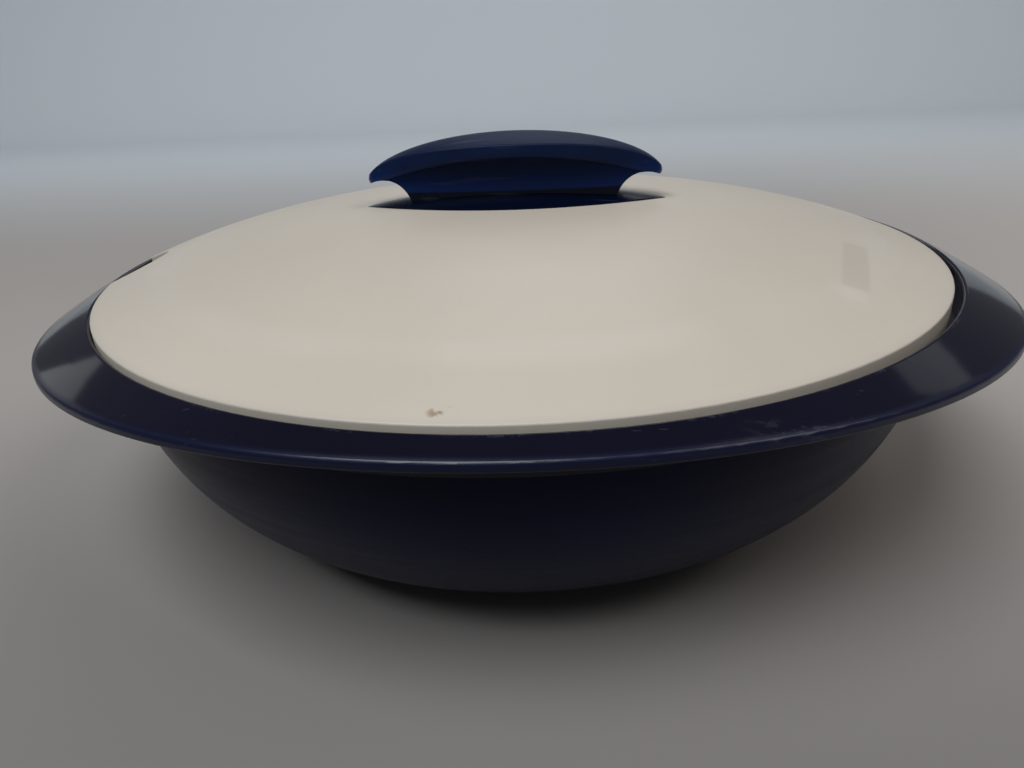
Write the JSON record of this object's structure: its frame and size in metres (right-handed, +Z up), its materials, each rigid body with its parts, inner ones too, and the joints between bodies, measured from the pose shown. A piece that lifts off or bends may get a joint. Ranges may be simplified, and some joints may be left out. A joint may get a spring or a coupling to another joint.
{
  "type": "insulated casserole",
  "caption": "Round double-walled insulated casserole with drooping ears on its flange and a loose, domed lid with a boat-shaped grip, for keeping chapatis warm.",
  "frame": {"origin": "centre of the foot ring, on the table", "axes": "+X along the two ears, -Y towards the side that faces the diner, +Z up"},
  "size_m": [0.302, 0.2772, 0.1141],
  "materials": {
    "shell_navy": "matte, finely textured",
    "liner_navy": "glossy",
    "lid_cream": "satin, with fine specks",
    "pan_cream": "glossy",
    "knob_navy": "satin",
    "foam": "matte foam",
    "screw_steel": "plain",
    "plug_navy": "matte"
  },
  "bodies": {
    "bowl": {"outer_shell": "shell_navy", "inner_bowl": "liner_navy", "bowl_foam": "foam", "fill_plug": "plug_navy"},
    "lid": {"lid_cover": "lid_cream", "lid_pan": "pan_cream", "lid_foam": "foam", "knob_base": "knob_navy", "knob_grip": "knob_navy", "knob_screws": "screw_steel"}
  },
  "joints": [
    {"name": "lid_lift", "type": "slide", "parent": "bowl", "child": "lid", "axis": [0, 0, 1], "range_m": [0, 0.12]}
  ]
}
